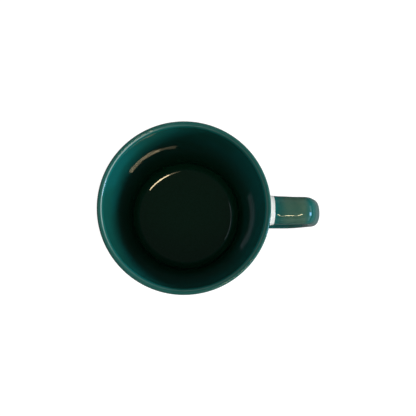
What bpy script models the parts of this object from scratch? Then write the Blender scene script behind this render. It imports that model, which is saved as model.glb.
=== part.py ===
"""Ceramic mug: a turned clay cup with a loop handle luted to its side, coated with a coloured glaze
inside and on the handle and with a white glaze outside.

Metres, +Z up. The mug stands on its foot ring at Z = 0 and the handle points along +X. The origin is
under the middle of the whole object, cup and handle together.
"""

import math
from collections import namedtuple

import bmesh
import bpy
from mathutils import Vector
from mathutils.geometry import interpolate_bezier

# The cup. Its wall is thinnest at the lip and thickest where it meets the floor's fillet.
MUG_RADIUS = 0.041
MUG_HEIGHT = 0.095
LIP_WALL = 0.0035
LOW_WALL = 0.0044
FLOOR_TOP = 0.007
FLOOR_FILLET = 0.007
HEEL_RADIUS = 0.006
UNDERSIDE = 0.0022
FOOT_OUTER = 0.0325
FOOT_WIDTH = 0.0042
FOOT_EDGE = 0.0007

# The coats of glaze, and the gap that every two touching pieces keep.
COAT = 0.0005
GAP = 0.0003
CLAY_DEPTH = COAT + GAP
LIP_GLAZE_END = MUG_HEIGHT - 0.0042

# The handle, and the roots that join it to the wall.
HANDLE_REACH = 0.0364
THINNEST = 0.0040
ROOT_LENGTH = 0.0044
ROOT_FLARE = 0.0026
FLARE_POWER = 1.5

# Facets.
TURN_STEPS = 48
LIP_STEPS = 6
FILLET_STEPS = 5
HEEL_STEPS = 4
SECTION_STEPS = 20
PATH_STEPS = 7
ROOT_STEPS = 5

FOOT_INNER = FOOT_OUTER - FOOT_WIDTH
HANDLE_END = MUG_RADIUS + ROOT_LENGTH
HANDLE_OUTERMOST = MUG_RADIUS + HANDLE_REACH - THINNEST

# A knot of the handle's centreline: its place and direction (X, Z), how far the curve keeps to that
# direction before and after it, and half the section's width and thickness there. The section is an oval,
# squarer as its power rises above 2.
Knot = namedtuple("Knot", "place direction before after half_width half_thickness power")
HANDLE_KNOTS = (
    Knot((HANDLE_END, 0.0783), (1.0, 0.03), 0.0, 0.005, 0.0076, 0.0045, 2.7),
    Knot((0.0586, 0.0786), (0.995, -0.08), 0.005, 0.0036, 0.0072, 0.0041, 2.5),
    Knot((0.0664, 0.0730), (0.48, -0.877), 0.0042, 0.007, 0.00715, 0.0040, 2.4),
    Knot((HANDLE_OUTERMOST, 0.0520), (0.0, -1.0), 0.009, 0.0085, 0.0077, THINNEST, 2.2),
    Knot((0.0630, 0.0312), (-0.80, -0.60), 0.009, 0.006, 0.0085, 0.0042, 2.3),
    Knot((HANDLE_END, 0.0240), (-0.99, -0.12), 0.007, 0.0, 0.0085, 0.0045, 2.6),
)

GLAZE_GREEN = (0.010, 0.072, 0.060)
GLAZE_WHITE = (0.84, 0.85, 0.84)
FIRED_CLAY = (0.76, 0.70, 0.61)


def clear_scene():
    for obj in list(bpy.data.objects):
        bpy.data.objects.remove(obj, do_unlink=True)


def new_collection(name):
    collection = bpy.data.collections.new(name)
    bpy.context.scene.collection.children.link(collection)
    return collection


def new_material(name, colour, roughness):
    material = bpy.data.materials.new(name)
    material.use_nodes = True
    shader = material.node_tree.nodes["Principled BSDF"]
    shader.inputs["Base Color"].default_value = (*colour, 1.0)
    shader.inputs["Roughness"].default_value = roughness
    shader.inputs["Metallic"].default_value = 0.0
    return material


def add_object(name, data, collection, parent, material=None):
    obj = bpy.data.objects.new(name, data)
    collection.objects.link(obj)
    obj.parent = parent
    if material:
        data.materials.append(material)
    return obj


def make_guide(obj):
    obj.hide_render = True
    obj.display_type = "WIRE"


def arc(centre, radius, start, end, steps):
    """Points (X, Z) on an arc, with its angles in degrees."""
    points = []
    for i in range(steps + 1):
        angle = math.radians(start + (end - start) * i / steps)
        points.append((centre[0] + radius * math.cos(angle), centre[1] + radius * math.sin(angle)))
    return points


def inside_face(depth):
    """From the axis across the floor, up the wall and over the lip, this deep under the glazed face."""
    fillet_centre = (MUG_RADIUS - LOW_WALL - FLOOR_FILLET, FLOOR_TOP + FLOOR_FILLET)
    lip_centre = (MUG_RADIUS - LIP_WALL / 2, MUG_HEIGHT - LIP_WALL / 2)
    floor = [(0.0, FLOOR_TOP - depth)]
    fillet = arc(fillet_centre, FLOOR_FILLET + depth, -90, 0, FILLET_STEPS)
    lip = arc(lip_centre, LIP_WALL / 2 - depth, 180, 0, LIP_STEPS)
    return floor + fillet + lip


def heel(depth):
    """Round the outer lower corner, this deep under the glazed face."""
    centre = (MUG_RADIUS - HEEL_RADIUS, UNDERSIDE + HEEL_RADIUS)
    return arc(centre, HEEL_RADIUS - depth, 0, -90, HEEL_STEPS)


def foot_ring():
    """Down the ring's outer side, across the face that it rests on, and up its inner side."""
    root = UNDERSIDE + CLAY_DEPTH
    outer_edge = arc((FOOT_OUTER - FOOT_EDGE, FOOT_EDGE), FOOT_EDGE, 0, -90, 2)
    inner_edge = arc((FOOT_INNER + FOOT_EDGE, FOOT_EDGE), FOOT_EDGE, -90, -180, 2)
    return [(FOOT_OUTER, root)] + outer_edge + inner_edge + [(FOOT_INNER, root)]


def turned(name, profile, closed, collection, parent, material=None):
    """The profile (X, Z) turned about the cup's axis."""
    mesh = bpy.data.meshes.new(name)
    edges = [(i, i + 1) for i in range(len(profile) - 1)]
    if closed:
        edges.append((len(profile) - 1, 0))
    mesh.from_pydata([(x, 0.0, z) for x, z in profile], edges, [])
    obj = add_object(name, mesh, collection, parent, material)
    screw = obj.modifiers.new("Turn", "SCREW")
    screw.axis = "Z"
    screw.angle = math.tau
    screw.steps = TURN_STEPS
    screw.render_steps = TURN_STEPS
    screw.use_merge_vertices = True
    screw.merge_threshold = 0.0001
    screw.use_smooth_shade = True
    return obj


def make_cup_body(collection, parent, material):
    base = [(0.0, UNDERSIDE + CLAY_DEPTH)]
    profile = inside_face(CLAY_DEPTH) + heel(CLAY_DEPTH) + foot_ring() + base
    return turned("cup_body", profile, False, collection, parent, material)


def make_inner_glaze(collection, parent, material):
    """The coat over the floor, the inner wall and the lip, ending a little way down the outside."""
    front = inside_face(0.0) + [(MUG_RADIUS, LIP_GLAZE_END)]
    back = inside_face(COAT) + [(MUG_RADIUS - COAT, LIP_GLAZE_END)]
    return turned("inner_glaze", front + back[::-1], False, collection, parent, material)


def make_outer_glaze(collection, parent, material):
    """The coat from under the lip's colour down to the foot ring."""
    top = LIP_GLAZE_END - GAP
    foot = FOOT_OUTER + GAP
    front = [(MUG_RADIUS, top)] + heel(0.0) + [(foot, UNDERSIDE)]
    back = [(MUG_RADIUS - COAT, top)] + heel(COAT) + [(foot, UNDERSIDE + COAT)]
    return turned("outer_glaze", front + back[::-1], True, collection, parent, material)


def make_base_glaze(collection, parent, material):
    """The coat on the underside within the foot ring."""
    edge = FOOT_INNER - GAP
    top = UNDERSIDE + COAT
    profile = [(0.0, top), (edge, top), (edge, UNDERSIDE), (0.0, UNDERSIDE)]
    return turned("base_glaze", profile, False, collection, parent, material)


def in_plane(point):
    """A point or direction (X, Z) in the plane of the handle."""
    return Vector((point[0], 0.0, point[1]))


def section(centre, along, half_width, half_thickness, power):
    """A ring of points round the centre, across the direction given."""
    outward = Vector((-along.z, 0.0, along.x))
    ring = []
    for i in range(SECTION_STEPS):
        angle = math.tau * (i + 0.5) / SECTION_STEPS
        across = math.copysign(abs(math.cos(angle)) ** (2 / power), math.cos(angle)) * half_width
        out = math.copysign(abs(math.sin(angle)) ** (2 / power), math.sin(angle)) * half_thickness
        ring.append(centre + Vector((0.0, across, 0.0)) + outward * out)
    return ring


def stretch_sections(first, second, depth):
    """The sections from one knot to the next, this deep under the glazed face."""
    start, leave = in_plane(first.place), in_plane(first.direction).normalized()
    finish, arrive = in_plane(second.place), in_plane(second.direction).normalized()
    bends = start + leave * first.after, finish - arrive * second.before
    places = interpolate_bezier(start, *bends, finish, PATH_STEPS + 1)
    rings = []
    for i, place in enumerate(places):
        along = (places[min(i + 1, PATH_STEPS)] - places[max(i - 1, 0)]).normalized()
        along = leave if i == 0 else arrive if i == PATH_STEPS else along
        share = i / PATH_STEPS
        ease = share * share * (3 - 2 * share)
        width = first.half_width + (second.half_width - first.half_width) * ease
        thickness = first.half_thickness + (second.half_thickness - first.half_thickness) * ease
        power = first.power + (second.power - first.power) * ease
        rings.append(section(place, along, width - depth, thickness - depth, power))
    return rings


def handle_sections(depth):
    """The sections of the whole handle, from its upper end to its lower one."""
    rings = stretch_sections(HANDLE_KNOTS[0], HANDLE_KNOTS[1], depth)
    for first, second in zip(HANDLE_KNOTS[1:], HANDLE_KNOTS[2:]):
        rings += stretch_sections(first, second, depth)[1:]
    return rings


def root_sections(end, growth):
    """From just short of a handle's end into the wall, flaring on the way, and grown all round."""
    outward = in_plane(end.direction).normalized()
    outward *= math.copysign(1.0, outward.x)
    start = in_plane(end.place) - outward * GAP
    length = ROOT_LENGTH + LIP_WALL
    rings = []
    for i in range(ROOT_STEPS + 1):
        run = length * i / ROOT_STEPS
        flare = ROOT_FLARE * min(run / ROOT_LENGTH, 1.0) ** FLARE_POWER + growth
        size = end.half_width + flare, end.half_thickness + flare
        rings.append(section(start - outward * run, -outward, *size, end.power))
    return rings


def lofted(name, rings, capped, collection, parent, material=None):
    """A skin through the rings, which all have the same number of points."""
    work = bmesh.new()
    rows = [[work.verts.new(point) for point in ring] for ring in rings]
    for row, following in zip(rows, rows[1:]):
        for i in range(SECTION_STEPS):
            j = (i + 1) % SECTION_STEPS
            work.faces.new((row[i], row[j], following[j], following[i]))
    if capped:
        work.faces.new(rows[0])
        work.faces.new(rows[-1])
    bmesh.ops.recalc_face_normals(work, faces=work.faces)
    mesh = bpy.data.meshes.new(name)
    work.to_mesh(mesh)
    work.free()
    mesh.shade_smooth()
    mesh.set_sharp_from_angle(angle=math.radians(40))
    return add_object(name, mesh, collection, parent, material)


def cut(obj, cutter):
    boolean = obj.modifiers.new("Cut by " + cutter.name, "BOOLEAN")
    boolean.operation = "DIFFERENCE"
    boolean.solver = "EXACT"
    boolean.object = cutter


def make_handle(collection, parent, material):
    return lofted("handle", handle_sections(CLAY_DEPTH), True, collection, parent, material)


def make_handle_glaze(collection, parent, material):
    """The coat round the handle, open at both ends where it meets the roots."""
    coat = lofted("handle_glaze", handle_sections(0.0), False, collection, parent, material)
    solidify = coat.modifiers.new("Coat", "SOLIDIFY")
    solidify.thickness = COAT
    solidify.offset = -1.0
    return coat


def make_roots(outer_glaze, collection, guides, parent, material):
    """The slip joints between handle and cup. Each passes through the outer coat to the clay wall."""
    clay = MUG_RADIUS - COAT
    profile = [(0.0, MUG_HEIGHT), (clay, MUG_HEIGHT), (clay, 0.0), (0.0, 0.0)]
    core = turned("guide_core", profile, False, guides, parent)
    make_guide(core)
    for name, end in (("upper_root", HANDLE_KNOTS[0]), ("lower_root", HANDLE_KNOTS[-1])):
        root = lofted(name, root_sections(end, 0.0), True, collection, parent, material)
        cut(root, core)
        opening = lofted("guide_" + name, root_sections(end, GAP), True, guides, parent)
        make_guide(opening)
        cut(outer_glaze, opening)


def main():
    clear_scene()
    mug = new_collection("ceramic_mug")
    guides = new_collection("guides")
    cup_axis = add_object("cup_axis", None, mug, None)
    cup_axis.location.x = -HANDLE_REACH / 2

    make_cup_body(mug, cup_axis, new_material("fired_clay", FIRED_CLAY, 0.85))
    make_handle(mug, cup_axis, new_material("handle_clay", FIRED_CLAY, 0.85))
    make_inner_glaze(mug, cup_axis, new_material("inner_glaze", GLAZE_GREEN, 0.10))
    make_handle_glaze(mug, cup_axis, new_material("handle_glaze", GLAZE_GREEN, 0.12))
    outer_glaze = make_outer_glaze(mug, cup_axis, new_material("outer_glaze", GLAZE_WHITE, 0.12))
    make_base_glaze(mug, cup_axis, new_material("base_glaze", GLAZE_WHITE, 0.20))
    make_roots(outer_glaze, mug, guides, cup_axis, new_material("root_glaze", GLAZE_WHITE, 0.14))


main()
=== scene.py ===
"""Glazed mug: a turned clay cup with a loop handle, green inside and on the handle, white outside.

Metres, +Z up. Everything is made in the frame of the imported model: the cup's axis, its radius and its height
come from the model's own boxes, and every piece sits at the origin with its place in its mesh.
"""

import math
from collections import namedtuple

import bmesh
import bpy
from bpy.props import FloatProperty, FloatVectorProperty, PointerProperty
from mathutils import Matrix, Vector
from mathutils.geometry import interpolate_bezier


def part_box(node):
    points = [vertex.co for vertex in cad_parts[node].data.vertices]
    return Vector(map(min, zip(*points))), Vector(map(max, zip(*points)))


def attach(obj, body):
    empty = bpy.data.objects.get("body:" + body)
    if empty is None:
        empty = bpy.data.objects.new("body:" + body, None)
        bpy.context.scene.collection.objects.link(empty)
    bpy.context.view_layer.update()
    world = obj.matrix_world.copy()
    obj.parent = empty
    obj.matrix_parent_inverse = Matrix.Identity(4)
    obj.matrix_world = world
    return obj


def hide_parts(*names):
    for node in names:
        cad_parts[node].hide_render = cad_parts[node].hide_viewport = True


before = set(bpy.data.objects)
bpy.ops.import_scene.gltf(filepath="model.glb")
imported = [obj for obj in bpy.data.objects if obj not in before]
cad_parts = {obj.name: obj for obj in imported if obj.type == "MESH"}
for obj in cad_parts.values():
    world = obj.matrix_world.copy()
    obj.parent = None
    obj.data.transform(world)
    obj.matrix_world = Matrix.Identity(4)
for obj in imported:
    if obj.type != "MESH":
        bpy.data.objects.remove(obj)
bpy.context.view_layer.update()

bl_info = {
    "name": "Glazed Mug",
    "version": (1, 0, 0),
    "blender": (4, 5, 0),
    "location": "3D View > Sidebar > Mug",
    "description": "Turns, glazes and lights a ceramic mug with a loop handle",
    "category": "Object",
}

BODY = "root"

# The cup's axis, radius and height, from the model.
WALL_LOW, WALL_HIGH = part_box("outer_glaze")
LIP_LOW, LIP_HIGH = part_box("inner_glaze")
LOOP_LOW, LOOP_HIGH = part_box("handle_glaze")
AXIS_X = (WALL_LOW.x + WALL_HIGH.x) / 2
CUP_RADIUS = (WALL_HIGH.x - WALL_LOW.x) / 2
CUP_HEIGHT = LIP_HIGH.z
AXIS = Vector((AXIS_X, 0.0, 0.0))

# How finely the pieces are made.
TURN_STEPS = 192
ROUND_SEGMENTS = 14
SMALL_ROUND = 0.001
SMALL_ROUND_SEGMENTS = 5
SECTION_POINTS = 56
SECTION_STEP = 0.0005
ROOT_STEPS = 16
DISH_STEPS = 16
WALL_STEPS = 40
SHARP_ANGLE = math.radians(48)

# How steeply the floor rises where it turns up into the wall.
DISH_SLOPE = math.radians(17.0)

# The roundings of the coats' free edges, as shares of a coat's thickness, and the gap to the bare foot ring.
LIP_COAT_ROUND = 0.45
FOOT_COAT_ROUND = 0.4
BASE_COAT_ROUND = 0.3
FOOT_GAP = 0.00005

# The underside's coat pools against the foot ring and is a little hollow in the middle.
POOL_DEPTH = 0.0002
POOL_WIDTH = 0.0022
POOL_ROUND = 0.0012
BASE_HOLLOW = 0.00015

# Inside the cup the coloured glaze turns from its usual colour at the first height to deep green at the
# second: painted shade, darker down the inner wall towards the floor.
PAINTED_SHADE_HEIGHTS = (0.078, 0.012)

# The glaze is thin over this much of the lip. A paler line, a painted highlight that stands for a glint, runs
# along its inner edge: how far across the edge's rounding, its width to each side, and how far below the thin
# glaze it fades. It is strongest on one side of the cup, as a glint is, and goes from the first strength to
# the second over this reach toward that side.
THIN_DEPTH = 0.0012
LIP_GLINT = 0.43
LIP_GLINT_WIDTH = 0.00032
LIP_GLINT_DEPTH = 0.002
LIP_GLINT_SIDE = (-0.94, 0.34, 0.0)
LIP_GLINT_REACH = (0.020, 0.037)
LIP_GLINT_STRENGTH = (0.10, 0.9)

# A painted highlight: the glaze is paler over the top of the handle. Where that fades in and out from the
# axis, and its heights.
HANDLE_HIGHLIGHT_START = (0.046, 0.053)
HANDLE_HIGHLIGHT_END = (0.064, 0.060)
HANDLE_HIGHLIGHT_HEIGHT = (0.079, 0.082)

# The faint marks that turning leaves round the wall: how many to a metre, and how deep.
TURNING_MARKS = 520.0
TURNING_DEPTH = 0.00003


def length(name, description, default, most=0.2):
    """A size in metres."""
    return FloatProperty(
        name=name,
        description=description,
        default=default,
        min=0.0,
        max=most,
        subtype="DISTANCE",
        unit="LENGTH",
    )


def colour(name, description, default):
    """A linear colour."""
    return FloatVectorProperty(
        name=name, description=description, default=default, min=0.0, max=1.0, size=3, subtype="COLOR"
    )


def strength(name, description, default):
    """The strength of a light, or how bright something looks."""
    return FloatProperty(name=name, description=description, default=default)


class MugCupSizes(bpy.types.PropertyGroup):
    """Sizes of the turned cup and its coats."""

    radius: length("Radius", "From the axis to the outer wall", CUP_RADIUS)
    height: length("Height", "From the table to the top of the lip", CUP_HEIGHT)
    lip_wall: length("Lip Wall", "Thickness of the wall at the lip", 0.0028)
    lip_inner: length("Lip Inner Edge", "Rounding of the lip's inner edge", 0.0018)
    lip_outer: length("Lip Outer Edge", "Rounding of the lip's outer edge", 0.0009)
    low_wall: length("Low Wall", "Thickness of the wall above the floor", 0.0044)
    floor_top: length("Floor Height", "From the table to the glazed floor", 0.007)
    floor_fillet: length("Floor Fillet", "Radius of the clay where the floor meets the wall", 0.007)
    heel_radius: length("Heel Radius", "Radius of the outer lower corner", 0.006)
    underside: length("Underside", "From the table to the glazed underside", 0.0022)
    foot_outer: length("Foot Radius", "From the axis to the outside of the foot ring", 0.0325)
    foot_width: length("Foot Width", "Width of the bare foot ring", 0.0042)
    foot_edge: length("Foot Edge", "Rounding of the foot ring's edges", 0.0007)
    coat: length("Coat", "Thickness of every coat of glaze", 0.0005)
    dish_start: length("Dish Start", "Radius at which the floor starts to rise", 0.0190)
    dish_end: length("Dish End", "Radius at which the floor turns up to the wall", 0.0318)
    lip_band: length("Lip Band", "How far the coloured coat reaches down the outside", 0.0042)
    lip_wave: length("Lip Wave", "How far the coloured coat's edge wanders up and down", 0.00022)
    lip_bead: length("Lip Bead", "How far the coloured coat stands out over the white one", 0.00012)


class MugHandleSizes(bpy.types.PropertyGroup):
    """Sizes of the handle and its roots."""

    root_length: length("Root Length", "From the cup's wall to the handle's end", 0.0044)
    root_flare: length("Root Flare", "How far a root spreads where it meets the wall", 0.0026)
    root_lap: length("Root Lap", "How far a root reaches over the handle's end", 0.00025)
    root_bead: length("Root Bead", "How far the white root stands out over the coloured coat", 0.00008)
    root_depth: length("Root Depth", "How far a root goes into the wall", 0.0006)


class MugColours(bpy.types.PropertyGroup):
    """Colours of the glazes and the clay."""

    green: colour("Green", "The coloured glaze at its usual thickness", (0.0035, 0.112, 0.106))
    # Deep Green is also painted shade: the inside of the cup turns to it towards the floor.
    green_deep_and_shade: colour("Deep Green", "The coloured glaze where it has run together", (0.0050, 0.056, 0.028))
    green_thin: colour("Thin Green", "The coloured glaze where it is thin, at the lip", (0.025, 0.118, 0.098))
    # Broken Green is a painted highlight on top of the handle.
    green_handle_highlight: colour("Broken Green", "The coloured glaze on top of the handle", (0.075, 0.150, 0.105))
    # Pale Green is a painted highlight: the glint along the lip's inner edge.
    green_lip_glint: colour("Pale Green", "The coloured glaze at the lip's inner edge", (0.33, 0.46, 0.44))
    white: colour("White", "The white glaze at its usual thickness", (0.82, 0.80, 0.77))
    white_cool: colour("Cool White", "The white glaze where it has run together", (0.72, 0.76, 0.755))
    clay: colour("Clay", "The bare fired clay", (0.74, 0.67, 0.57))
    clay_dark: colour("Dark Clay", "The darker grains in the bare clay", (0.50, 0.42, 0.34))
    floor: colour("Floor", "The studio floor", (0.22, 0.22, 0.218))


class MugLights(bpy.types.PropertyGroup):
    """Strength of each light of the studio."""

    window: strength("Window", "Light that the cool side window gives", 20.0)
    shine: strength("Window Shine", "Brightness of the window in the glaze", 15.0)
    side: strength("Window Side", "Brightness of the curtains beside the window", 1.2)
    overhead: strength("Overhead", "Warm light from above", 1.5)
    lamp: strength("Lamp", "Brightness of the warm lamp in the glaze", 24.0)
    lamp_end: strength("Lamp End", "Brightness of the lamp's dimmer end", 5.0)
    left: strength("Left Light", "Soft light from the side opposite the window", 1.1)
    panel: strength("Panel", "Brightness of the dim panel opposite the window", 1.0)
    surround: strength("Surround", "Brightness of the backdrop behind the mug", 1.0)
    room: strength("Room", "Soft light from all round", 0.33)
    horizon: strength("Horizon", "Brightness of the room's walls in the glaze", 0.10)
    ceiling: strength("Ceiling", "Brightness of the room's ceiling in the glaze", 0.28)
    zenith: strength("Zenith", "Brightness straight overhead in the glaze", 0.06)
    floor_glow: strength("Floor Glow", "Light that evens out the studio floor", 0.92)


# ---------------------------------------------------------------------------------------------------------
# Making pieces


def finish_piece(name, work, material, slot, *nodes):
    """The bmesh becomes a piece of the mug, which stands for these nodes of the model."""
    bmesh.ops.remove_doubles(work, verts=work.verts[:], dist=1e-7)
    bmesh.ops.recalc_face_normals(work, faces=work.faces[:])
    mesh = bpy.data.meshes.new(name)
    work.to_mesh(mesh)
    work.free()
    mesh.shade_smooth()
    mesh.set_sharp_from_angle(angle=SHARP_ANGLE)
    mesh.materials.append(material)
    piece = bpy.data.objects.new(name, mesh)
    bpy.context.scene.collection.objects.link(piece)
    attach(piece, BODY)
    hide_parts(*nodes)


def turned(corners, closed=False):
    """A bmesh of the corners (radius, height, rounding) turned about the cup's axis."""
    work = bmesh.new()
    points = [work.verts.new((AXIS_X + radius, 0.0, height)) for radius, height, _ in corners]
    for first, second in zip(points, points[1:]):
        work.edges.new((first, second))
    if closed:
        work.edges.new((points[-1], points[0]))
    for point, (_, _, rounding) in zip(points, corners):
        if rounding:
            segments = ROUND_SEGMENTS if rounding > SMALL_ROUND else SMALL_ROUND_SEGMENTS
            bmesh.ops.bevel(
                work,
                geom=[point],
                offset=rounding,
                offset_type="OFFSET",
                affect="VERTICES",
                segments=segments,
                profile=0.5,
                material=-1,
            )
    bmesh.ops.spin(
        work,
        geom=work.verts[:] + work.edges[:],
        cent=AXIS,
        axis=(0.0, 0.0, 1.0),
        dvec=(0.0, 0.0, 0.0),
        angle=math.tau,
        steps=TURN_STEPS,
        use_merge=True,
        use_duplicate=False,
    )
    bmesh.ops.remove_doubles(work, verts=work.verts[:], dist=1e-6)
    return work


def inside_points(cup):
    """Corners of the glazed floor, which rises slowly, turns up, and goes on as the tapered wall."""
    run = cup.dish_end - cup.dish_start
    points = [(0.0, cup.floor_top, 0.0)]
    for i in range(DISH_STEPS + 1):
        share = i / DISH_STEPS
        points.append((cup.dish_start + run * share, cup.floor_top + run * DISH_SLOPE * share**2 / 2, 0.0))
    turn = (cup.radius - cup.low_wall - cup.dish_end) / (1.0 - math.sin(DISH_SLOPE))
    middle_radius = cup.radius - cup.low_wall - turn
    middle_height = points[-1][1] + turn * math.cos(DISH_SLOPE)
    for i in range(1, 2 * ROUND_SEGMENTS + 1):
        angle = DISH_SLOPE + (math.pi / 2 - DISH_SLOPE) * i / (2 * ROUND_SEGMENTS)
        points.append((middle_radius + turn * math.sin(angle), middle_height - turn * math.cos(angle), 0.0))
    foot, top = points[-1][:2], (cup.radius - cup.lip_wall, cup.height - cup.lip_inner)
    for i in range(1, WALL_STEPS):
        share = i / WALL_STEPS
        points.append((foot[0] + (top[0] - foot[0]) * share, foot[1] + (top[1] - foot[1]) * share, 0.0))
    return points


def wander(angle):
    """A slow wave round the cup, from -1 to 1, as a poured glaze's edge has."""
    return (
        0.5 * math.sin(2 * angle + 0.7)
        + 0.3 * math.sin(5 * angle + 2.1)
        + 0.2 * math.sin(11 * angle + 4.0)
    )


# A knot of the handle's centreline, from the cup's axis: its place and direction (X, Z), how far the curve
# keeps to that direction before and after it, and half the section's width and thickness there. The section
# is an oval, squarer as its power rises above 2.
Knot = namedtuple("Knot", "place direction before after half_width half_thickness power")
HANDLE_KNOTS = (
    Knot((0.0454, 0.0783), (0.999, -0.045), 0.0, 0.0012, 0.0076, 0.0045, 2.3),
    Knot((0.0492, 0.0784), (0.9936, 0.113), 0.0013, 0.003, 0.00745, 0.0044, 2.2),
    Knot((0.0572, 0.0793), (0.9936, 0.113), 0.003, 0.0015, 0.0072, 0.0042, 2.15),
    Knot((0.0613, 0.07945), (0.9976, -0.07), 0.0014, 0.0027, 0.0072, 0.0041, 2.15),
    Knot((0.0668, 0.0735), (0.48, -0.877), 0.0030, 0.008, 0.00715, 0.0040, 2.3),
    Knot((0.0734, 0.0520), (0.0, -1.0), 0.009, 0.0085, 0.0077, 0.0040, 2.2),
    Knot((0.0630, 0.0312), (-0.80, -0.60), 0.009, 0.006, 0.0085, 0.0042, 2.3),
    Knot((0.0454, 0.0240), (-0.99, -0.12), 0.007, 0.0, 0.0085, 0.0045, 2.6),
)

# One cross-section of the handle or of a root.
Section = namedtuple("Section", "centre along half_width half_thickness power")


def in_plane(point):
    """A point or direction (X, Z) in the plane of the handle."""
    return Vector((point[0], 0.0, point[1]))


def stretch_sections(first, second):
    """The sections from one knot to the next."""
    start, leave = in_plane(first.place), in_plane(first.direction).normalized()
    finish, arrive = in_plane(second.place), in_plane(second.direction).normalized()
    bends = start + leave * first.after, finish - arrive * second.before
    steps = round((finish - start).length / SECTION_STEP)
    places = interpolate_bezier(start, *bends, finish, steps + 1)
    sections = []
    for i, place in enumerate(places):
        along = (places[min(i + 1, steps)] - places[max(i - 1, 0)]).normalized()
        along = leave if i == 0 else arrive if i == steps else along
        share = i / steps
        ease = share * share * (3 - 2 * share)
        sizes = [a + (b - a) * ease for a, b in zip(first[4:], second[4:])]
        sections.append(Section(place + AXIS, along, *sizes))
    return sections


def handle_sections():
    """The sections of the whole handle, from its upper end to its lower one."""
    sections = stretch_sections(HANDLE_KNOTS[0], HANDLE_KNOTS[1])
    for first, second in zip(HANDLE_KNOTS[1:], HANDLE_KNOTS[2:]):
        sections += stretch_sections(first, second)[1:]
    return sections


def thinner(sections, depth):
    """The sections of what lies under a coat of this depth."""
    return [
        section._replace(half_width=section.half_width - depth, half_thickness=section.half_thickness - depth)
        for section in sections
    ]


def section_matrix(section):
    """Carries the unit ring, which lies across +Z, to the section's place."""
    outward = Vector((-section.along.z, 0.0, section.along.x))
    across = Vector((0.0, 1.0, 0.0))
    turn = Matrix((across * section.half_width, outward * section.half_thickness, section.along)).transposed()
    return Matrix.Translation(section.centre) @ turn.to_4x4()


def oval(power):
    """How far out a point of the unit ring goes, by its angle."""
    return lambda angle: (abs(math.cos(angle)) ** power + abs(math.sin(angle)) ** power) ** (-1 / power)


def swept(sections, caps=True):
    """A bmesh of a ring that is drawn out through the sections."""
    work = bmesh.new()
    made = bmesh.ops.create_circle(work, segments=SECTION_POINTS, radius=1.0, cap_ends=False)
    ring = made["verts"]
    edges = work.edges[:]
    angles = [math.atan2(point.co.y, point.co.x) for point in ring]
    for section in sections:
        if section is not sections[0]:
            drawn = bmesh.ops.extrude_edge_only(work, edges=edges)["geom"]
            fresh = {item for item in drawn if isinstance(item, bmesh.types.BMVert)}
            fresh_edges = [item for item in drawn if isinstance(item, bmesh.types.BMEdge)]
            following = []
            for point in ring:
                following += [e.other_vert(point) for e in point.link_edges if e.other_vert(point) in fresh]
            ring = following
            edges = [e for e in fresh_edges if e.verts[0] in fresh and e.verts[1] in fresh]
        reach = oval(section.power)
        for point, angle in zip(ring, angles):
            point.co = Vector((math.cos(angle), math.sin(angle), 0.0)) * reach(angle)
        bmesh.ops.transform(work, matrix=section_matrix(section), verts=ring)
    if caps:
        bmesh.ops.holes_fill(work, edges=work.edges[:], sides=SECTION_POINTS)
    return work


# ---------------------------------------------------------------------------------------------------------
# Finishes


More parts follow.
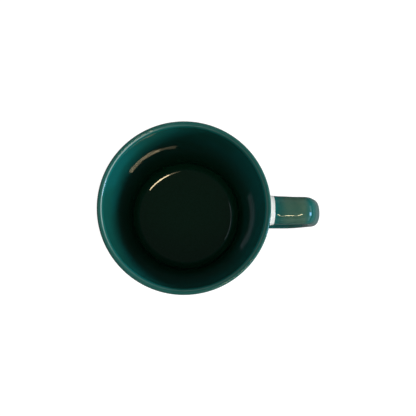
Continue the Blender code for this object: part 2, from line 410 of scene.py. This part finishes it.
class Finish:
    """A material and the few kinds of node that the finishes share."""

    def __init__(self, name):
        self.material = bpy.data.materials.new(name)
        self.material.use_nodes = True
        self.tree = self.material.node_tree
        self.shader = self.tree.nodes["Principled BSDF"]
        place = self.tree.nodes.new("ShaderNodeTexCoord")
        centred = self.tree.nodes.new("ShaderNodeMapping")
        centred.inputs["Location"].default_value = -AXIS
        self.tree.links.new(place.outputs["Object"], centred.inputs["Vector"])
        self.place = centred.outputs["Vector"]

    def set(self, **values):
        """Constant values go straight on the shader."""
        for name, value in values.items():
            self.shader.inputs[name.replace("_", " ")].default_value = value

    def feed(self, name, output):
        self.tree.links.new(output, self.shader.inputs[name])

    def turned_place(self):
        """The place with its angle about the cup's axis left out, so that noise there lies in rings."""
        node = self.tree.nodes.new("ShaderNodeCombineXYZ")
        self.tree.links.new(self.radius(), node.inputs["X"])
        self.tree.links.new(self.height(), node.inputs["Z"])
        return node.outputs["Vector"]

    def noise(self, scale, detail=2.0, roughness=0.5, distortion=0.0, place=None):
        """Soft noise from 0 to 1, with this many features a metre."""
        node = self.tree.nodes.new("ShaderNodeTexNoise")
        node.inputs["Scale"].default_value = scale
        node.inputs["Detail"].default_value = detail
        node.inputs["Roughness"].default_value = roughness
        node.inputs["Distortion"].default_value = distortion
        self.tree.links.new(place or self.place, node.inputs["Vector"])
        return node.outputs["Fac"]

    def specks(self, scale, size):
        """1 at the middle of scattered specks, 0 away from them."""
        node = self.tree.nodes.new("ShaderNodeTexVoronoi")
        node.inputs["Scale"].default_value = scale
        self.tree.links.new(self.place, node.inputs["Vector"])
        return self.between(node.outputs["Distance"], size, size * 0.4)

    def radius(self):
        """The distance from the cup's axis."""
        flat = self.tree.nodes.new("ShaderNodeVectorMath")
        flat.operation = "MULTIPLY"
        flat.inputs[1].default_value = (1.0, 1.0, 0.0)
        self.tree.links.new(self.place, flat.inputs[0])
        node = self.tree.nodes.new("ShaderNodeVectorMath")
        node.operation = "LENGTH"
        self.tree.links.new(flat.outputs["Vector"], node.inputs[0])
        return node.outputs["Value"]

    def toward(self, direction):
        """How far the place lies along a direction from the cup's axis."""
        node = self.tree.nodes.new("ShaderNodeVectorMath")
        node.operation = "DOT_PRODUCT"
        node.inputs[1].default_value = direction
        self.tree.links.new(self.place, node.inputs[0])
        return node.outputs["Value"]

    def height(self):
        node = self.tree.nodes.new("ShaderNodeSeparateXYZ")
        self.tree.links.new(self.place, node.inputs["Vector"])
        return node.outputs["Z"]

    def between(self, value, low, high, bottom=0.0, top=1.0):
        """From bottom to top as the value goes from low to high, smoothly."""
        node = self.tree.nodes.new("ShaderNodeMapRange")
        node.interpolation_type = "SMOOTHSTEP"
        self.tree.links.new(value, node.inputs["Value"])
        for name, limit in zip(("From Min", "From Max", "To Min", "To Max"), (low, high, bottom, top)):
            node.inputs[name].default_value = limit
        return node.outputs["Result"]

    def times(self, first, second):
        node = self.tree.nodes.new("ShaderNodeMath")
        node.operation = "MULTIPLY"
        for value, socket in zip((first, second), node.inputs):
            if isinstance(value, float):
                socket.default_value = value
            else:
                self.tree.links.new(value, socket)
        return node.outputs["Value"]

    def mixed(self, factor, first, second):
        """The first colour, turning to the second as the factor goes to 1."""
        node = self.tree.nodes.new("ShaderNodeMix")
        node.data_type = "RGBA"
        self.tree.links.new(factor, node.inputs["Factor"])
        for value, socket in ((first, node.inputs[6]), (second, node.inputs[7])):
            if isinstance(value, bpy.types.NodeSocket):
                self.tree.links.new(value, socket)
            else:
                socket.default_value = (*value, 1.0)
        return node.outputs[2]

    def bump(self, height, depth, over=None):
        """Bump this deep, in metres, on top of another."""
        node = self.tree.nodes.new("ShaderNodeBump")
        node.inputs["Distance"].default_value = depth
        self.tree.links.new(height, node.inputs["Height"])
        if over is not None:
            self.tree.links.new(over, node.inputs["Normal"])
        return node.outputs["Normal"]


def thin_lip_and_glint(finish, body, height):
    """The glaze is thin and patchy over the lip, and a painted highlight, a paler line, runs along its inner
    edge.
    """
    colours, cup = bpy.context.scene.mug_colours, bpy.context.scene.mug_cup
    start = cup.height - THIN_DEPTH
    thin = finish.between(height, start, CUP_HEIGHT)
    patchy = finish.between(finish.noise(160.0, 3.0), 0.2, 0.8, 0.45, 1.0)
    body = finish.mixed(finish.times(thin, patchy), body, colours.green_thin)
    edge = cup.radius - cup.lip_wall + LIP_GLINT * cup.lip_inner
    radius = finish.radius()
    inside = finish.between(radius, edge - LIP_GLINT_WIDTH, edge)
    outside = finish.between(radius, edge + LIP_GLINT_WIDTH, edge)
    high = finish.between(height, start - LIP_GLINT_DEPTH, start)
    line = finish.times(finish.times(inside, outside), high)
    # Painted highlight: the pale line is strong on one side of the cup and faint on the other.
    side = finish.between(finish.toward(LIP_GLINT_SIDE), *LIP_GLINT_REACH, *LIP_GLINT_STRENGTH)
    return finish.mixed(finish.times(line, side), body, colours.green_lip_glint)


def handle_highlight(finish, body, height):
    """A painted highlight: the glaze turns paler over the top of the handle."""
    along = finish.toward((1.0, 0.0, 0.0))
    # Painted highlight: paler over the top of the handle only.
    over = finish.times(finish.between(along, *HANDLE_HIGHLIGHT_START), finish.between(along, *HANDLE_HIGHLIGHT_END))
    over = finish.times(over, finish.between(height, *HANDLE_HIGHLIGHT_HEIGHT))
    patchy = finish.between(finish.noise(190.0, 3.0), 0.2, 0.8, 0.6, 1.0)
    return finish.mixed(finish.times(over, patchy), body, bpy.context.scene.mug_colours.green_handle_highlight)


def green_glaze(name, inside):
    """A glossy coloured glaze, for the inside of the cup or for the handle."""
    colours = bpy.context.scene.mug_colours
    finish = Finish(name)
    height = finish.height()
    cloud = finish.between(finish.noise(45.0, 3.0, 0.55, 0.4), 0.35, 0.65)
    body = finish.mixed(finish.times(cloud, 0.45), colours.green, colours.green_deep_and_shade)
    if inside:
        # Painted shade: the inside turns deep green towards the floor.
        body = finish.mixed(finish.between(height, *PAINTED_SHADE_HEIGHTS), body, colours.green_deep_and_shade)
    fine = finish.between(finish.noise(900.0, 2.0), 0.3, 0.7)
    body = finish.mixed(finish.times(fine, 0.12), body, colours.green_thin)
    body = thin_lip_and_glint(finish, body, height) if inside else handle_highlight(finish, body, height)
    specks = finish.specks(420.0, 0.10)
    body = finish.mixed(finish.times(specks, 0.35), body, colours.green_deep_and_shade)
    finish.feed("Base Color", body)
    finish.feed("Roughness", finish.between(finish.noise(75.0, 4.0), 0.25, 0.75, 0.020, 0.048))
    soft = finish.bump(finish.noise(70.0, 1.0), 0.000022)
    if inside:
        marks = finish.noise(TURNING_MARKS, 2.0, place=finish.turned_place())
        soft = finish.bump(marks, TURNING_DEPTH, soft)
    finish.feed("Normal", finish.bump(finish.noise(420.0, 2.0), 0.000003, soft))
    finish.set(IOR=1.52)
    return finish.material


def white_glaze(name):
    """A glossy white glaze with a faint cool mottle, pinholes and the odd iron speck."""
    colours = bpy.context.scene.mug_colours
    finish = Finish(name)
    height = finish.height()
    cloud = finish.between(finish.noise(38.0, 3.0, 0.55, 0.3), 0.35, 0.7)
    body = finish.mixed(finish.times(cloud, 0.5), colours.white, colours.white_cool)
    body = finish.mixed(finish.between(height, 0.012, 0.002, 0.0, 0.7), body, colours.white_cool)
    body = finish.mixed(finish.times(finish.specks(170.0, 0.05), 0.45), body, colours.clay_dark)
    finish.feed("Base Color", body)
    finish.feed("Roughness", finish.between(finish.noise(65.0, 4.0), 0.25, 0.75, 0.09, 0.19))
    pinholes = finish.specks(230.0, 0.05)
    soft = finish.bump(finish.noise(60.0, 1.0), 0.00006)
    grain = finish.bump(finish.noise(380.0, 2.0), 0.000006, soft)
    finish.feed("Normal", finish.bump(pinholes, -0.00004, grain))
    finish.set(IOR=1.50)
    return finish.material


def bare_clay(name):
    """Bare fired clay: matt, with fine grain and a few dark grains."""
    colours = bpy.context.scene.mug_colours
    finish = Finish(name)
    cloud = finish.between(finish.noise(55.0, 3.0), 0.3, 0.7)
    pale = [min(1.0, c * 1.08) for c in colours.clay]
    body = finish.mixed(cloud, colours.clay, pale)
    body = finish.mixed(finish.times(finish.noise(1500.0, 2.0), 0.25), body, colours.clay_dark)
    body = finish.mixed(finish.times(finish.specks(650.0, 0.14), 0.7), body, colours.clay_dark)
    finish.feed("Base Color", body)
    finish.feed("Roughness", finish.between(finish.noise(300.0, 3.0), 0.3, 0.7, 0.72, 0.92))
    finish.feed("Normal", finish.bump(finish.noise(1200.0, 4.0, 0.6), 0.00008))
    finish.set(IOR=1.45)
    return finish.material


def once(make, name, *choices):
    """The material of this name, made the first time it is asked for."""
    return bpy.data.materials.get(name) or make(name, *choices)


# ---------------------------------------------------------------------------------------------------------
# Pieces


class MUG_OT_clay_cup(bpy.types.Operator):
    """Turn the clay cup with its bare foot ring"""

    bl_idname = "mug.clay_cup"
    bl_label = "Clay Cup"

    def execute(self, context):
        cup = context.scene.mug_cup
        coat = cup.coat
        inner = cup.foot_outer - cup.foot_width
        root = cup.underside + coat
        corners = [
            (0.0, cup.floor_top - coat, 0.0),
            (cup.radius - cup.low_wall + coat, cup.floor_top - coat, cup.floor_fillet + coat),
            (cup.radius - cup.lip_wall + coat, cup.height - coat, cup.lip_inner - coat),
            (cup.radius - coat, cup.height - coat, cup.lip_outer - coat),
            (cup.radius - coat, root, cup.heel_radius - coat),
            (cup.foot_outer, root, 0.0),
            (cup.foot_outer, 0.0, cup.foot_edge),
            (inner, 0.0, cup.foot_edge),
            (inner, root, 0.0),
            (0.0, root, 0.0),
        ]
        finish_piece("clay_cup", turned(corners), once(bare_clay, "fired_clay"), "fired_clay", "cup_body")
        return {"FINISHED"}


class MUG_OT_inner_coat(bpy.types.Operator):
    """Coat the floor, the inner wall and the lip in the coloured glaze"""

    bl_idname = "mug.inner_coat"
    bl_label = "Inner Coat"

    def execute(self, context):
        cup = context.scene.mug_cup
        coat = cup.coat
        edge = cup.height - cup.lip_band
        face = cup.radius + cup.lip_bead
        corners = [
            *inside_points(cup),
            (cup.radius - cup.lip_wall, cup.height, cup.lip_inner),
            (cup.radius, cup.height, cup.lip_outer),
            (face, edge, coat * LIP_COAT_ROUND),
            (cup.radius - coat, edge, 0.0),
            (cup.radius - coat, cup.height - coat, cup.lip_outer - coat),
            (cup.radius - cup.lip_wall + coat, cup.height - coat, cup.lip_inner - coat),
            (cup.radius - cup.low_wall + coat, cup.floor_top - coat, cup.floor_fillet + coat),
            (0.0, cup.floor_top - coat, 0.0),
        ]
        work = turned(corners)
        for point in work.verts:
            out = point.co - AXIS
            if math.hypot(out.x, out.y) > cup.radius - coat * 1.1 and point.co.z < edge + coat:
                point.co.z += cup.lip_wave * wander(math.atan2(out.y, out.x))
        material = once(green_glaze, "green_glaze_inside", True)
        finish_piece("inner_coat", work, material, "green_glaze", "inner_glaze")
        return {"FINISHED"}


class MUG_OT_white_coats(bpy.types.Operator):
    """Coat the outer wall and the underside in the white glaze"""

    bl_idname = "mug.white_coats"
    bl_label = "White Coats"

    def execute(self, context):
        cup = context.scene.mug_cup
        coat = cup.coat
        under_lip = cup.height - cup.lip_band + cup.lip_wave * 1.5
        outside = [
            (cup.radius, under_lip, 0.0),
            (cup.radius, cup.underside, cup.heel_radius),
            (cup.foot_outer + FOOT_GAP, cup.underside, coat * FOOT_COAT_ROUND),
            (cup.foot_outer + FOOT_GAP, cup.underside + coat, 0.0),
            (cup.radius - coat, cup.underside + coat, cup.heel_radius - coat),
            (cup.radius - coat, under_lip, 0.0),
        ]
        edge = cup.foot_outer - cup.foot_width - FOOT_GAP
        under = [
            (0.0, cup.underside + coat, 0.0),
            (edge, cup.underside + coat, 0.0),
            (edge, cup.underside - POOL_DEPTH, coat * BASE_COAT_ROUND),
            (edge - POOL_WIDTH, cup.underside, POOL_ROUND),
            (0.0, cup.underside + BASE_HOLLOW, 0.0),
        ]
        material = once(white_glaze, "white_glaze_outside")
        finish_piece("outer_coat", turned(outside, closed=True), material, "white_glaze", "outer_glaze")
        finish_piece("base_coat", turned(under), material, "white_glaze", "base_glaze")
        return {"FINISHED"}


class MUG_OT_handle_coat(bpy.types.Operator):
    """Coat the loop of the handle in the coloured glaze"""

    bl_idname = "mug.handle_coat"
    bl_label = "Handle Coat"

    def execute(self, context):
        sections = handle_sections()
        work = swept(sections + thinner(reversed(sections), context.scene.mug_cup.coat), caps=False)
        bmesh.ops.bridge_loops(work, edges=[edge for edge in work.edges if edge.is_boundary])
        material = once(green_glaze, "green_glaze_handle", False)
        finish_piece("handle_coat", work, material, "green_glaze", "handle_glaze")
        return {"FINISHED"}


def root_piece(name, end, node):
    """A white slip joint: it laps over the handle's end and flares until it lies along the cup's wall."""
    cup, handle = bpy.context.scene.mug_cup, bpy.context.scene.mug_handle
    outward = in_plane(end.direction).normalized()
    outward *= math.copysign(1.0, outward.x)
    start = in_plane(end.place) + AXIS
    sections = []
    for i in range(ROOT_STEPS + 3):
        share = min(max((i - 1) / ROOT_STEPS, 0.0), 1.0)
        flare = handle.root_flare * (1.0 - math.sqrt(1.0 - share * share)) + handle.root_bead
        run = handle.root_length * share
        if i == 0:
            run, flare = -handle.root_lap, -handle.root_bead
        if i == ROOT_STEPS + 2:
            run += handle.root_depth
        half_width, half_thickness = end.half_width + flare, end.half_thickness + flare
        sections.append(Section(start - outward * run, -outward, half_width, half_thickness, end.power))
    work = swept(sections)
    # The ring on the wall follows its curve, and the ones before it turn to it little by little.
    for point in work.verts:
        run = (start - point.co).dot(outward)
        share = min(max(run / handle.root_length, 0.0), 1.0)
        fall = cup.radius - math.sqrt(cup.radius**2 - point.co.y**2)
        point.co.x -= fall * share * share
    material = once(white_glaze, "white_glaze_outside")
    finish_piece(name, work, material, "white_glaze", node)


class MUG_OT_handle_roots(bpy.types.Operator):
    """Join both ends of the handle to the cup's wall with white roots"""

    bl_idname = "mug.handle_roots"
    bl_label = "Handle Roots"

    def execute(self, context):
        root_piece("upper_joint", HANDLE_KNOTS[0], "upper_root")
        root_piece("lower_joint", HANDLE_KNOTS[-1], "lower_root")
        return {"FINISHED"}


class MUG_OT_handle_clay(bpy.types.Operator):
    """Make the clay loop of the handle"""

    bl_idname = "mug.handle_clay"
    bl_label = "Handle Clay"

    def execute(self, context):
        core = thinner(handle_sections()[1:-1], context.scene.mug_cup.coat)
        finish_piece("handle_clay", swept(core), once(bare_clay, "fired_clay"), "fired_clay", "handle")
        return {"FINISHED"}


# ---------------------------------------------------------------------------------------------------------
# Studio

# The camera: its height above the table, its offset from the cup's axis, the way it looks, and its roll.
VIEW_HEIGHT = 0.263
VIEW_OFFSET = Vector((0.00151, -0.01306, 0.0))
VIEW_FORWARD = Vector((19.7, 26.5, -358.8))
VIEW_TURN = math.radians(0.66)
LENS = 31.05
SENSOR = 36.0

# The studio's floor lies just under the foot ring, so that the two faces never share a plane.
FLOOR_RADIUS = 4.0
FLOOR_SEGMENTS = 96
FLOOR_DROP = 0.0002

# The strip lights hang at this height above the rim.
STRIP_HEIGHT = 0.8
RIM = AXIS + Vector((0.0, 0.0, CUP_HEIGHT))
SIDEWAYS = Vector((0.0, 1.0, 0.0))

# A light either shades the mug or shows in its glaze.
DIFFUSE, GLOSSY = "diffuse", "glossy"


def aimed(azimuth, elevation, distance):
    """A place seen from the cup at this azimuth from +X and this elevation, in degrees."""
    a, e = math.radians(azimuth), math.radians(elevation)
    return RIM + Vector((math.cos(a) * math.cos(e), math.sin(a) * math.cos(e), math.sin(e))) * distance


def area_light(name, place, across, size, radiance, tint, reach):
    """A rectangle of this radiance that faces the rim, with its first side along a direction."""
    data = bpy.data.lights.new(name, "AREA")
    data.shape = "RECTANGLE"
    data.size, data.size_y = size
    data.energy = radiance * math.pi * size[0] * size[1]
    data.color = tint
    light = bpy.data.objects.new(name, data)
    bpy.context.scene.collection.objects.link(light)
    back = (place - RIM).normalized()
    side = (across - back * across.dot(back)).normalized()
    turn = Matrix((side, back.cross(side), back)).transposed().to_4x4()
    light.matrix_world = Matrix.Translation(place) @ turn
    light.visible_camera = False
    light.visible_diffuse = reach == DIFFUSE
    light.visible_glossy = reach == GLOSSY


def strip_light(name, start, end, width, radiance, tint, reach):
    """A straight strip over the cup. Its ends are given on a plane 1 m above the rim, then drawn in."""
    start, end = (RIM + Vector((*point, 1.0)) * STRIP_HEIGHT for point in (start, end))
    size = ((end - start).length, width * STRIP_HEIGHT)
    area_light(name, (start + end) / 2, end - start, size, radiance, tint, reach)


class MUG_OT_studio(bpy.types.Operator):
    """Set up the pale floor, the soft lights and the camera"""

    bl_idname = "mug.studio"
    bl_label = "Studio"

    def execute(self, context):
        self.make_floor(context)
        self.make_surround(context)
        self.make_lights(context)
        self.make_camera(context)
        return {"FINISHED"}

    def make_floor(self, context):
        work = bmesh.new()
        below = Matrix.Translation((0.0, 0.0, -FLOOR_DROP))
        bmesh.ops.create_circle(
            work, segments=FLOOR_SEGMENTS, radius=FLOOR_RADIUS, cap_ends=True, matrix=below
        )
        mesh = bpy.data.meshes.new("studio_floor")
        work.to_mesh(mesh)
        work.free()
        material = bpy.data.materials.new("studio_floor")
        material.use_nodes = True
        shader = material.node_tree.nodes["Principled BSDF"]
        shader.inputs["Base Color"].default_value = (*context.scene.mug_colours.floor, 1.0)
        shader.inputs["Roughness"].default_value = 0.7
        shader.inputs["Specular IOR Level"].default_value = 0.1
        shader.inputs["Emission Color"].default_value = (1.0, 1.0, 1.0, 1.0)
        tree = material.node_tree
        seen = tree.nodes.new("ShaderNodeLightPath")
        glow = tree.nodes.new("ShaderNodeMath")
        glow.operation = "MULTIPLY"
        glow.inputs[1].default_value = context.scene.mug_lights.floor_glow
        tree.links.new(seen.outputs["Is Camera Ray"], glow.inputs[0])
        tree.links.new(glow.outputs["Value"], shader.inputs["Emission Strength"])
        mesh.materials.append(material)
        floor = bpy.data.objects.new("studio_floor", mesh)
        context.scene.collection.objects.link(floor)

    def make_surround(self, context):
        """Pale behind the mug, dimmer where it lights it, and dark overhead, so that the cup stays deep."""
        lights = context.scene.mug_lights
        world = bpy.data.worlds.new("studio")
        world.use_nodes = True
        tree = world.node_tree
        background = tree.nodes["Background"]
        background.inputs["Color"].default_value = (1.0, 0.995, 0.985, 1.0)
        direction = tree.nodes.new("ShaderNodeTexCoord")
        split = tree.nodes.new("ShaderNodeSeparateXYZ")
        tree.links.new(direction.outputs["Generated"], split.inputs["Vector"])
        # Up from the horizon, the room brightens to a band of ceiling and is dark straight overhead.
        shade = tree.nodes.new("ShaderNodeValToRGB")
        stops = (
            (0.0, lights.horizon),
            (0.30, lights.horizon),
            (0.55, lights.ceiling),
            (0.70, lights.ceiling),
            (0.80, lights.zenith),
            (1.0, lights.zenith),
        )
        for place, level in stops[2:]:
            shade.color_ramp.elements.new(place)
        for element, (place, level) in zip(shade.color_ramp.elements, stops):
            element.position = place
            element.color = (level, level, level, 1.0)
        tree.links.new(split.outputs["Z"], shade.inputs["Fac"])
        seen = tree.nodes.new("ShaderNodeLightPath")
        lit = tree.nodes.new("ShaderNodeMix")
        lit.inputs[3].default_value = lights.room
        tree.links.new(seen.outputs["Is Diffuse Ray"], lit.inputs[0])
        tree.links.new(shade.outputs["Color"], lit.inputs[2])
        shown = tree.nodes.new("ShaderNodeMix")
        shown.inputs[3].default_value = lights.surround
        tree.links.new(seen.outputs["Is Camera Ray"], shown.inputs[0])
        tree.links.new(lit.outputs[0], shown.inputs[2])
        tree.links.new(shown.outputs[0], background.inputs["Strength"])
        context.scene.world = world

    def make_lights(self, context):
        lights = context.scene.mug_lights
        cool, blue = (0.84, 0.95, 1.0), (0.25, 0.58, 1.0)
        warm, amber, dim = (1.0, 0.88, 0.62), (1.0, 0.80, 0.48), (0.72, 0.88, 1.0)
        area_light("window", aimed(-9.0, 18.0, 1.2), SIDEWAYS, (0.80, 0.36), lights.window, cool, DIFFUSE)
        area_light("window_shine", aimed(-8.0, 22.0, 1.2), SIDEWAYS, (0.24, 0.38), lights.shine, blue, GLOSSY)
        area_light("window_side", aimed(-14.0, 22.0, 1.25), SIDEWAYS, (1.50, 0.40), lights.side, dim, GLOSSY)
        area_light("left_light", aimed(180.0, 28.0, 1.2), SIDEWAYS, (0.80, 0.70), lights.left, cool, DIFFUSE)
        strip_light("lamp", (0.418, -0.241), (0.199, -0.408), 0.055, lights.lamp, amber, GLOSSY)
        strip_light("lamp_end", (0.199, -0.408), (0.087, -0.493), 0.050, lights.lamp_end, amber, GLOSSY)
        strip_light("overhead", (-0.20, -0.20), (0.20, -0.20), 0.40, lights.overhead, warm, DIFFUSE)
        strip_light("left_panel", (-0.60, -0.13), (-0.60, 0.40), 0.14, lights.panel, dim, GLOSSY)

    def make_camera(self, context):
        turn = Matrix.Rotation(VIEW_TURN, 3, "Z")
        forward = turn @ VIEW_FORWARD.normalized()
        right = forward.cross(turn @ Vector((0.0, 1.0, 0.0))).normalized()
        up = right.cross(forward)
        data = bpy.data.cameras.new("view")
        data.sensor_width = SENSOR
        data.lens = LENS
        data.clip_start, data.clip_end = 0.01, 20.0
        camera = bpy.data.objects.new("view", data)
        context.scene.collection.objects.link(camera)
        camera.matrix_world = Matrix.Translation(
            AXIS + turn @ VIEW_OFFSET + Vector((0.0, 0.0, VIEW_HEIGHT))
        ) @ Matrix((right, up, -forward)).transposed().to_4x4()
        context.scene.camera = camera
        context.scene.view_settings.view_transform = "Standard"


class MUG_PT_tools(bpy.types.Panel):
    """The mug's sizes, colours and steps"""

    bl_label = "Glazed Mug"
    bl_idname = "MUG_PT_tools"
    bl_space_type = "VIEW_3D"
    bl_region_type = "UI"
    bl_category = "Mug"

    def draw(self, context):
        scene = context.scene
        for group in (scene.mug_cup, scene.mug_handle, scene.mug_colours, scene.mug_lights):
            box = self.layout.box()
            for name in group.__annotations__:
                box.prop(group, name)
        for step in STEPS:
            self.layout.operator(step.bl_idname)


GROUPS = {
    "mug_cup": MugCupSizes,
    "mug_handle": MugHandleSizes,
    "mug_colours": MugColours,
    "mug_lights": MugLights,
}
STEPS = (
    MUG_OT_clay_cup,
    MUG_OT_inner_coat,
    MUG_OT_white_coats,
    MUG_OT_handle_clay,
    MUG_OT_handle_coat,
    MUG_OT_handle_roots,
    MUG_OT_studio,
)


def register():
    for item in (*GROUPS.values(), *STEPS, MUG_PT_tools):
        bpy.utils.register_class(item)
    for name, group in GROUPS.items():
        setattr(bpy.types.Scene, name, PointerProperty(type=group))


def unregister():
    for name in GROUPS:
        delattr(bpy.types.Scene, name)
    for item in reversed((*GROUPS.values(), *STEPS, MUG_PT_tools)):
        bpy.utils.unregister_class(item)


def main():
    register()
    bpy.ops.mug.clay_cup()
    bpy.ops.mug.inner_coat()
    bpy.ops.mug.white_coats()
    bpy.ops.mug.handle_clay()
    bpy.ops.mug.handle_coat()
    bpy.ops.mug.handle_roots()
    bpy.ops.mug.studio()


if __name__ == "__main__":
    main()
